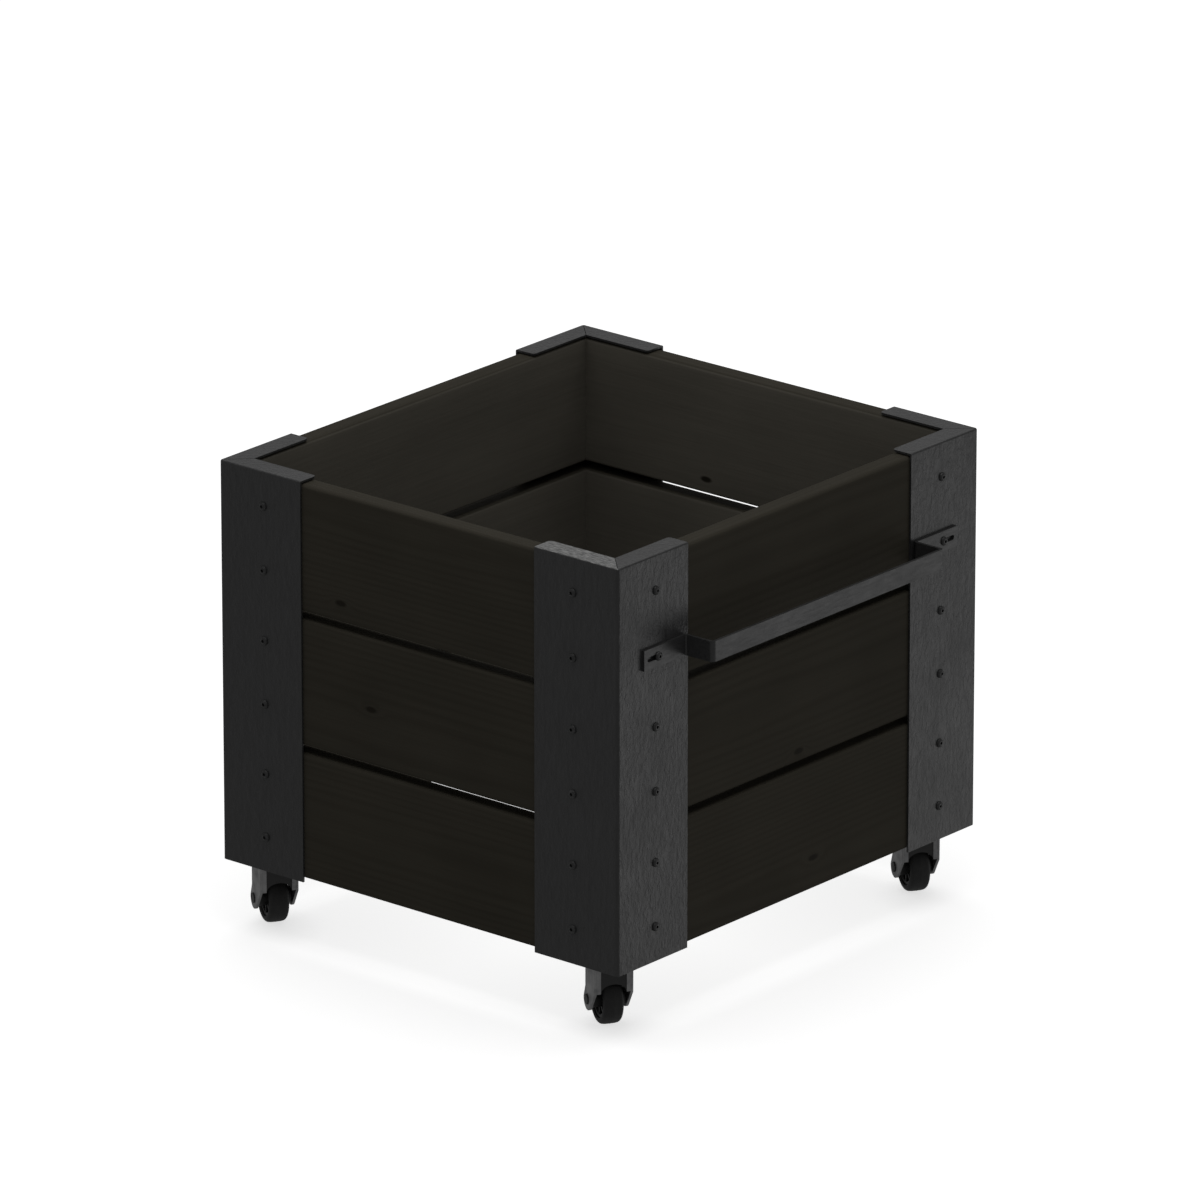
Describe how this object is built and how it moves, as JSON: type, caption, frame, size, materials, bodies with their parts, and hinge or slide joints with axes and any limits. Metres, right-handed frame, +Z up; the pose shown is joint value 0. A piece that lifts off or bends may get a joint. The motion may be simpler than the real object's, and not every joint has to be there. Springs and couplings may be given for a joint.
{
  "type": "planter box",
  "caption": "Open square planter box of dark boards between bent steel corner posts, with a strap handle on one side and swivel castors, rolled about by hand.",
  "frame": {"origin": "on the ground under the middle of the box, midway between the outer faces of the posts", "axes": "+Z up; +X out of the side that carries the handle; +Y along that side, towards the back"},
  "size_m": [0.5235, 0.531, 0.4674],
  "materials": {
    "post_steel": "dark grey powder coat over brushed sheet, satin",
    "handle_steel": "dark grey powder coat, satin",
    "timber": "planed softwood with black-brown stain, matt",
    "screw_black": "black coated steel",
    "castor_zinc": "pressed steel, zinc plated, dull",
    "wheel_core": "black moulded plastic",
    "tyre": "black solid rubber, matt"
  },
  "bodies": {
    "planter": {"back_board_bottom": "timber", "back_board_middle": "timber", "back_board_top": "timber", "board_screws_back_left": "screw_black", "board_screws_back_right": "screw_black", "board_screws_front_left": "screw_black", "board_screws_front_right": "screw_black", "castor_balls_back_left": "castor_zinc", "castor_balls_back_right": "castor_zinc", "castor_balls_front_left": "castor_zinc", "castor_balls_front_right": "castor_zinc", "castor_kingpin_back_left": "castor_zinc", "castor_kingpin_back_right": "castor_zinc", "castor_kingpin_front_left": "castor_zinc", "castor_kingpin_front_right": "castor_zinc", "castor_plate_back_left": "castor_zinc", "castor_plate_back_right": "castor_zinc", "castor_plate_front_left": "castor_zinc", "castor_plate_front_right": "castor_zinc", "castor_plate_screws_back_left": "castor_zinc", "castor_plate_screws_back_right": "castor_zinc", "castor_plate_screws_front_left": "castor_zinc", "castor_plate_screws_front_right": "castor_zinc", "corner_post_back_left": "post_steel", "corner_post_back_right": "post_steel", "corner_post_front_left": "post_steel", "corner_post_front_right": "post_steel", "front_board_bottom": "timber", "front_board_middle": "timber", "front_board_top": "timber", "handle_screws": "screw_black", "handle_strap": "handle_steel", "left_board_bottom": "timber", "left_board_middle": "timber", "left_board_top": "timber", "right_board_bottom": "timber", "right_board_middle": "timber", "right_board_top": "timber"},
    "castor_swivel_front_left": {"castor_fork_front_left": "castor_zinc", "castor_axle_bolt_front_left": "castor_zinc", "castor_axle_nut_front_left": "castor_zinc"},
    "castor_wheel_front_left": {"castor_wheel_core_front_left": "wheel_core", "castor_tyre_front_left": "tyre"},
    "castor_swivel_front_right": {"castor_fork_front_right": "castor_zinc", "castor_axle_bolt_front_right": "castor_zinc", "castor_axle_nut_front_right": "castor_zinc"},
    "castor_wheel_front_right": {"castor_wheel_core_front_right": "wheel_core", "castor_tyre_front_right": "tyre"},
    "castor_swivel_back_right": {"castor_fork_back_right": "castor_zinc", "castor_axle_bolt_back_right": "castor_zinc", "castor_axle_nut_back_right": "castor_zinc"},
    "castor_wheel_back_right": {"castor_wheel_core_back_right": "wheel_core", "castor_tyre_back_right": "tyre"},
    "castor_swivel_back_left": {"castor_fork_back_left": "castor_zinc", "castor_axle_bolt_back_left": "castor_zinc", "castor_axle_nut_back_left": "castor_zinc"},
    "castor_wheel_back_left": {"castor_wheel_core_back_left": "wheel_core", "castor_tyre_back_left": "tyre"}
  },
  "joints": [
    {"name": "castor_swivel_front_left", "type": "hinge", "parent": "planter", "child": "castor_swivel_front_left", "pos_m": [-0.2055, -0.2265, 0.0626], "axis": [0, 0, 1], "continuous": true},
    {"name": "castor_roll_front_left", "type": "hinge", "parent": "castor_swivel_front_left", "child": "castor_wheel_front_left", "pos_m": [-0.22152, -0.21629, 0.025], "axis": [-0.5373, -0.8434, 0], "continuous": true},
    {"name": "castor_swivel_front_right", "type": "hinge", "parent": "planter", "child": "castor_swivel_front_right", "pos_m": [0.2055, -0.2265, 0.0626], "axis": [0, 0, 1], "continuous": true},
    {"name": "castor_roll_front_right", "type": "hinge", "parent": "castor_swivel_front_right", "child": "castor_wheel_front_right", "pos_m": [0.18948, -0.21629, 0.025], "axis": [-0.5373, -0.8434, 0], "continuous": true},
    {"name": "castor_swivel_back_right", "type": "hinge", "parent": "planter", "child": "castor_swivel_back_right", "pos_m": [0.2055, 0.2265, 0.0626], "axis": [0, 0, 1], "continuous": true},
    {"name": "castor_roll_back_right", "type": "hinge", "parent": "castor_swivel_back_right", "child": "castor_wheel_back_right", "pos_m": [0.18948, 0.23671, 0.025], "axis": [-0.5373, -0.8434, 0], "continuous": true},
    {"name": "castor_swivel_back_left", "type": "hinge", "parent": "planter", "child": "castor_swivel_back_left", "pos_m": [-0.2055, 0.2265, 0.0626], "axis": [0, 0, 1], "continuous": true},
    {"name": "castor_roll_back_left", "type": "hinge", "parent": "castor_swivel_back_left", "child": "castor_wheel_back_left", "pos_m": [-0.22152, 0.23671, 0.025], "axis": [-0.5373, -0.8434, 0], "continuous": true}
  ]
}
